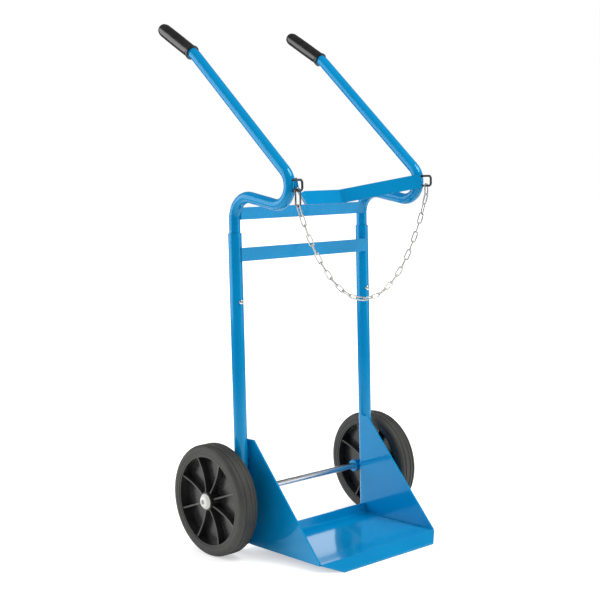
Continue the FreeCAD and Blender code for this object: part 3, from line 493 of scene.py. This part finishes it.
for side, sign in SIDES.items():
    low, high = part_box("hub_cap_" + side)
    section = [(sign * length, radius) for length, radius in CAP_SECTION]
    cap = turn_section("crowned_hub_cap_" + side, section, CAP_STEPS)
    settle(cap, (high.x if sign < 0 else low.x, AXLE_LINE[1], AXLE_LINE[2]))
    dress(cap, "cap_plastic", "chassis", "hub_cap_" + side)

# %% [markdown]
# ### Grips
# Each grip is a vinyl sleeve with a rolled collar, a body that swells a little in the palm and a
# closed round end. The sleeve follows the sloped end of the handle, so it is turned about X at the
# origin first, then tipped and moved.

# %% Turn the grips
GRIP_RISE = math.radians(29.8)
GRIP_AHEAD = Vector((0, math.cos(GRIP_RISE), math.sin(GRIP_RISE)))
GRIP_STEPS = 48
GRIP_SECTION = millimetres(
    (0.0, 12.6), (0.1, 16.0), (0.8, 16.9), (2.4, 17.0), (4.4, 16.8), (5.8, 16.2), (8.0, 15.5),
    (12.0, 15.2), (30.0, 15.3), (62.0, 15.5), (95.0, 15.4), (114.0, 15.2), (119.6, 14.9),
    (123.4, 13.9), (127.2, 12.1), (130.4, 9.7), (132.8, 6.8), (134.2, 3.8), (134.7, 1.8),
    (134.8, 0), (127.2, 0), (127.2, 12.6))


def grip_root(node):
    """The middle of the grip's lower end: the lowest point of the CAD grip along its own axis."""
    low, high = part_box(node)
    middle = Vector(((low.x + high.x) / 2, 0, 0))
    spots = [vertex.co for vertex in NODES[node].data.vertices]
    start = min(spot.dot(GRIP_AHEAD) for spot in spots)
    across = GRIP_AHEAD.cross(Vector((1, 0, 0)))
    reach = [spot.dot(across) for spot in spots]
    return middle + GRIP_AHEAD * start + across * (min(reach) + max(reach)) / 2


for side in SIDES:
    grip = turn_section("vinyl_grip_" + side, GRIP_SECTION, GRIP_STEPS)
    settle(grip, grip_root("grip_" + side), GRIP_AHEAD.to_track_quat("X", "Z").to_euler())
    dress(grip, "grip_vinyl", "handle_frame", "grip_" + side)

# %% [markdown]
# ### Lock screws
# A dome-headed screw in each lower upright holds the height of the handles. Head and shank are
# turned like the caps, and a six-sided key hole is cut in with a boolean, which is what the tool
# that made the real one did.

# %% Turn the lock screws
SCREW_STEPS = 32
SCREW_SECTION = millimetres(
    (-2.5, 0), (-2.5, 2.4), (-2.2, 2.9), (-0.1, 2.9), (0, 3.1), (0, 5.1), (0.3, 5.5), (1.3, 5.5),
    (1.9, 5.2), (2.8, 4.3), (3.6, 3.0), (3.95, 1.6), (4.0, 0))
SCREW_TOP = SCREW_SECTION[-1][0]
KEY_SIDES = 6
KEY_WIDTH = 0.0036
KEY_DEPTH = 0.0022
Z_TO_X = (0, math.pi / 2, 0)
X_TO_FRONT = (0, 0, -math.pi / 2)


def cut_key_hole(head, face):
    """Cuts a six-sided hole into the face of a screw head that lies on the X axis."""
    deselect_all()
    bpy.ops.mesh.primitive_cylinder_add(
        vertices=KEY_SIDES, radius=KEY_WIDTH / math.sqrt(3), depth=2 * KEY_DEPTH,
        location=(face, 0, 0), rotation=Z_TO_X)
    cutter = bpy.context.object
    cut = head.modifiers.new("key_hole", "BOOLEAN")
    cut.object = cutter
    cut.solver = "EXACT"
    pick(head)
    bpy.ops.object.modifier_apply(modifier=cut.name)
    bpy.data.objects.remove(cutter)


for side in SIDES:
    low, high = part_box("lock_screw_" + side)
    head = turn_section("domed_lock_screw_" + side, SCREW_SECTION, SCREW_STEPS)
    cut_key_hole(head, SCREW_TOP)
    settle(head, ((low.x + high.x) / 2, low.y + SCREW_TOP, (low.z + high.z) / 2), X_TO_FRONT)
    dress(head, "zinc_steel", "chassis", "lock_screw_" + side)

# %% [markdown]
# ## The chain
# Each link is a bent and butt-welded wire. A ring becomes a link when its two halves are pulled
# apart: the wire between them turns into the straight legs. One leg is cut across and swollen in
# the middle, where the real wire was welded. The CAD chain says where each link hangs, so a merged
# copy of it is split into its links and measured one by one.

# %% Measure the links
Link = namedtuple("Link", "middle along flat length width wire")


def copy_of(pattern):
    """A copy of a piece with a mesh of its own."""
    copy = pattern.copy()
    copy.data = pattern.data.copy()
    bpy.context.scene.collection.objects.link(copy)
    return copy


def measure_links(node):
    """The middle, long axis, flat's normal, length, width and wire of each link in CAD."""
    pick(copy_of(NODES[node]))
    bpy.ops.object.mode_set(mode="EDIT")
    bpy.ops.mesh.select_all(action="SELECT")
    bpy.ops.mesh.remove_doubles(threshold=MERGE_DISTANCE)
    bpy.ops.mesh.separate(type="LOOSE")
    bpy.ops.object.mode_set(mode="OBJECT")
    found = []
    for part in list(bpy.context.selected_objects):
        spots = np.array([vertex.co for vertex in part.data.vertices])
        middle = spots.mean(0)
        turned = np.linalg.svd(spots - middle, full_matrices=False)[2]
        spans = (spots - middle) @ turned.T
        size = spans.max(0) - spans.min(0)
        middle = middle + ((spans.max(0) + spans.min(0)) / 2) @ turned
        found.append(Link(Vector(middle), Vector(turned[0]), Vector(turned[2]), *map(float, size)))
        bpy.data.objects.remove(part)
    return found


links_found = measure_links("chain_links")
print("links:", len(links_found), "first: length %.4f width %.4f wire %.4f" % links_found[0][3:])

# %% Bend one link
LINK_SEGMENTS = 24
WIRE_SEGMENTS = 10
MIDDLE_SHARE = 0.01  # of the wire: what counts as the middle of a leg
BEND_SHARE = 0.2  # of the width: how far the cuts reach into the bends
LEG_CUTS = 3
BUTT_SWELL = 1.16


def select_where(piece, test):
    """Selects the vertices that pass a test of their place, in edit mode."""
    bpy.ops.object.mode_set(mode="EDIT")
    bpy.ops.mesh.select_all(action="DESELECT")
    bpy.ops.object.mode_set(mode="OBJECT")
    for vertex in piece.data.vertices:
        vertex.select = test(vertex.co)
    bpy.ops.object.mode_set(mode="EDIT")


def bend_link(length, width, wire):
    """One smooth oval link in the XY plane, long in X, with a swollen weld in one leg's middle."""
    deselect_all()
    leg = (width - wire) / 2
    pull = (length - width) / 2
    middle = wire * MIDDLE_SHARE
    bpy.ops.mesh.primitive_torus_add(major_segments=LINK_SEGMENTS, minor_segments=WIRE_SEGMENTS,
                                     major_radius=leg, minor_radius=wire / 2)
    link = bpy.context.object
    bpy.ops.object.mode_set(mode="EDIT")
    bpy.ops.mesh.select_mode(type="VERT")
    for way in (-1, 1):
        select_where(link, lambda spot: way * spot.x > middle)
        bpy.ops.transform.translate(value=(way * pull, 0, 0))
    select_where(link, lambda spot: spot.y > 0 and abs(spot.x) < pull + width * BEND_SHARE)
    bpy.ops.mesh.subdivide(number_cuts=LEG_CUTS)
    select_where(link, lambda spot: spot.y > 0 and abs(spot.x) < middle)
    bpy.ops.transform.resize(value=(1, BUTT_SWELL, BUTT_SWELL), center_override=(0, leg, 0))
    bpy.ops.object.mode_set(mode="OBJECT")
    round_off = link.modifiers.new("round_off", "SUBSURF")
    round_off.levels = round_off.render_levels = 1
    bpy.ops.object.modifier_apply(modifier=round_off.name)
    return link


link_pattern = bend_link(*links_found[0][3:])
print("one link:", len(link_pattern.data.polygons), "faces")

# %% Hang the copies
LINK_SMOOTH_ANGLE = 60


def join_pieces(name, pieces):
    """Joins pieces into one and writes their places into its mesh."""
    deselect_all()
    for piece in pieces:
        piece.select_set(True)
    bpy.context.view_layer.objects.active = pieces[0]
    bpy.ops.object.join()
    whole = bpy.context.object
    whole.name = name
    bpy.ops.object.transform_apply(location=True, rotation=True, scale=True)
    return whole


def hang_links(name, pattern, places):
    """One copy of the bent link at each measured place, joined into one chain."""
    hung = []
    for place in places:
        link = copy_of(pattern)
        turn = Matrix((place.along, place.flat.cross(place.along), place.flat)).transposed()
        link.matrix_world = Matrix.Translation(place.middle) @ turn.to_4x4()
        hung.append(link)
    bpy.data.objects.remove(pattern)
    return join_pieces(name, hung)


chain = hang_links("welded_chain", link_pattern, links_found)
dress(chain, "zinc_chain", "chain", "chain_links", angle=LINK_SMOOTH_ANGLE)

# %% [markdown]
# ## Welds
# The frame is welded, then painted. A hand-laid weld is a row of small overlapping ripples. It
# could be one swept bead, but that looks like putty. So one ripple is a sphere squashed along the
# weld, and copies of it are laid in straight runs or in rings, each a little different in size. The
# random numbers start from a fixed seed, so the welds come out the same every time.

# %% Shape one ripple
RIPPLE_SEGMENTS = 8
RIPPLE_RINGS = 6
RIPPLE_SQUASH = 0.7


def shape_ripple():
    """One weld ripple of radius one, squashed along Z."""
    deselect_all()
    bpy.ops.mesh.primitive_uv_sphere_add(segments=RIPPLE_SEGMENTS, ring_count=RIPPLE_RINGS,
                                         radius=1)
    ripple = bpy.context.object
    bpy.ops.object.mode_set(mode="EDIT")
    bpy.ops.mesh.select_all(action="SELECT")
    bpy.ops.transform.resize(value=(1, 1, RIPPLE_SQUASH))
    bpy.ops.object.mode_set(mode="OBJECT")
    return ripple


ripple_pattern = shape_ripple()
print("one ripple:", len(ripple_pattern.data.polygons), "faces")

# %% [markdown]
# ### Where the welds lie
# Each run has its start, its end and the size of its ripples, in millimetres from the drawing. The
# two sides are alike, so only the right one is written down. The axle sleeve crosses close behind
# the round upright, and a ring of ripples fills the gap that widens round their nearest point.

# %% List the straight runs of the lower frame
FEWEST_RIPPLES = 3
RIPPLE_STEP = 0.9  # of a ripple's size
LOWER_RUNS = {
    "crossbar end": ((191.3, -5.3, 655.5), (191.3, -5.3, 682.5), 1.7),
    "crossbar back": ((186.5, -2.5, 655.5), (186.5, -2.5, 682.5), 1.8),
    "gusset to upright, first stitch": ((181, 2.6, 34), (181, 2.6, 64), 2),
    "gusset to upright, second stitch": ((181, 2.6, 94), (181, 2.6, 124), 2),
    "gusset to upright, third stitch": ((181, 2.6, 154), (181, 2.6, 184), 2),
    "gusset to upright, fourth stitch": ((181, 2.6, 214), (181, 2.6, 244), 2),
    "gusset to toe plate": ((175.4, -222, 19.1), (175.4, -12, 19.1), 1.6),
    "gusset to rear flange": ((175.4, -5.2, 21), (175.4, -5.2, 38), 1.5),
}


def straight_run(start, end, size):
    """Ripples in a row from start to end, given in millimetres."""
    start, end = Vector(start) / MM_PER_METRE, Vector(end) / MM_PER_METRE
    step_length = size * RIPPLE_STEP / MM_PER_METRE
    count = max(FEWEST_RIPPLES, round((end - start).length / step_length))
    along = (end - start).normalized()
    return [(start.lerp(end, step / (count - 1)), along, size / MM_PER_METRE)
            for step in range(count)]


def side_runs(sign, runs):
    """Straight runs that are given for the right side, mirrored for the left by their sign."""
    ripples = []
    for start, end, size in runs.values():
        ripples += straight_run((sign * start[0], *start[1:]), (sign * end[0], *end[1:]), size)
    return ripples


print("straight ripples on each side:", len(side_runs(1, LOWER_RUNS)))

# %% List the rings of the axle sleeves
UPRIGHT_X, UPRIGHT_Y, UPRIGHT_RADIUS = 195, 9.345, 15
SLEEVE_Y, SLEEVE_Z, SLEEVE_RADIUS = 38.645, 125, 14
SLEEVE_RIPPLES = 20
SLEEVE_RING = 8.5
SLEEVE_RIPPLE_SIZE = 2.6


def sleeve_run(sign):
    """A ring of ripples in the narrow gap between an upright and the axle sleeve behind it."""
    ripples = []
    for step in range(SLEEVE_RIPPLES):
        turn = math.tau * step / SLEEVE_RIPPLES
        across, rise = SLEEVE_RING * math.cos(turn), SLEEVE_RING * math.sin(turn)
        front = UPRIGHT_Y + math.sqrt(UPRIGHT_RADIUS ** 2 - across ** 2)
        back = SLEEVE_Y - math.sqrt(SLEEVE_RADIUS ** 2 - rise ** 2)
        place = Vector((sign * UPRIGHT_X + across, (front + back) / 2, SLEEVE_Z + rise))
        along = Vector((-math.sin(turn), 0, math.cos(turn)))
        ripples.append((place / MM_PER_METRE, along, SLEEVE_RIPPLE_SIZE / MM_PER_METRE))
    return ripples


print("ripples round each sleeve's gap:", len(sleeve_run(1)))

# %% Lay the welds of the lower frame
WELD_SEED = 11
WELD_CHANCE = random.Random(WELD_SEED)
WELD_SMOOTH_ANGLE = 80
RIPPLE_SWELL = (0.9, 1.08)


def lay_welds(name, ripples, slot, body):
    """Copies the ripple to every place and joins the copies into one piece."""
    laid = []
    for place, along, size in ripples:
        ripple = copy_of(ripple_pattern)
        swell = size * WELD_CHANCE.uniform(*RIPPLE_SWELL)
        turn = along.to_track_quat("Z", "Y").to_matrix().to_4x4()
        ripple.matrix_world = Matrix.Translation(place) @ turn @ Matrix.Scale(swell, 4)
        laid.append(ripple)
    return dress(join_pieces(name, laid), slot, body, angle=WELD_SMOOTH_ANGLE)


ripples = []
for sign in SIDES.values():
    ripples += side_runs(sign, LOWER_RUNS) + sleeve_run(sign)
lay_welds("lower_frame_welds", ripples, "blue_paint", "chassis")

# %% Lay the welds of the upper frame
UPPER_RUNS = {
    "crossbar end, lower half": ((188.4, -2.4, 746), (188.0, -3.0, 757), 1.6),
    "crossbar end, upper half": ((188.0, -3.0, 757), (184.2, -4.0, 771), 1.6),
    "cradle end": ((190.2, -184.9, 833), (190.4, -189.4, 815), 1.9),
}
EYE_FEET = ((195, -187.4, 808.35), (195, -187.4, 830.35))
EYE_AXIS = (0, 1, 0)
EYE_RING = 2.5
EYE_RIPPLE_SIZE = 0.9


def ring_run(middle, axis, radius, size):
    """Ripples in a ring round an axis, given in millimetres."""
    middle, axis = Vector(middle) / MM_PER_METRE, Vector(axis).normalized()
    count = round(math.tau * radius / (size * RIPPLE_STEP))
    side = axis.orthogonal().normalized()
    ripples = []
    for step in range(count):
        out = Matrix.Rotation(math.tau * step / count, 3, axis) @ side
        ripples.append((middle + out * radius / MM_PER_METRE, axis.cross(out), size / MM_PER_METRE))
    return ripples


ripples, dark_ripples = [], []
for sign in SIDES.values():
    ripples += side_runs(sign, UPPER_RUNS)
    for x, y, z in EYE_FEET:
        dark_ripples += ring_run((sign * x, y, z), EYE_AXIS, EYE_RING, EYE_RIPPLE_SIZE)
lay_welds("upper_frame_welds", ripples, "blue_paint", "handle_frame")
lay_welds("eye_welds", dark_ripples, "eye_steel", "handle_frame")
bpy.data.objects.remove(ripple_pattern)
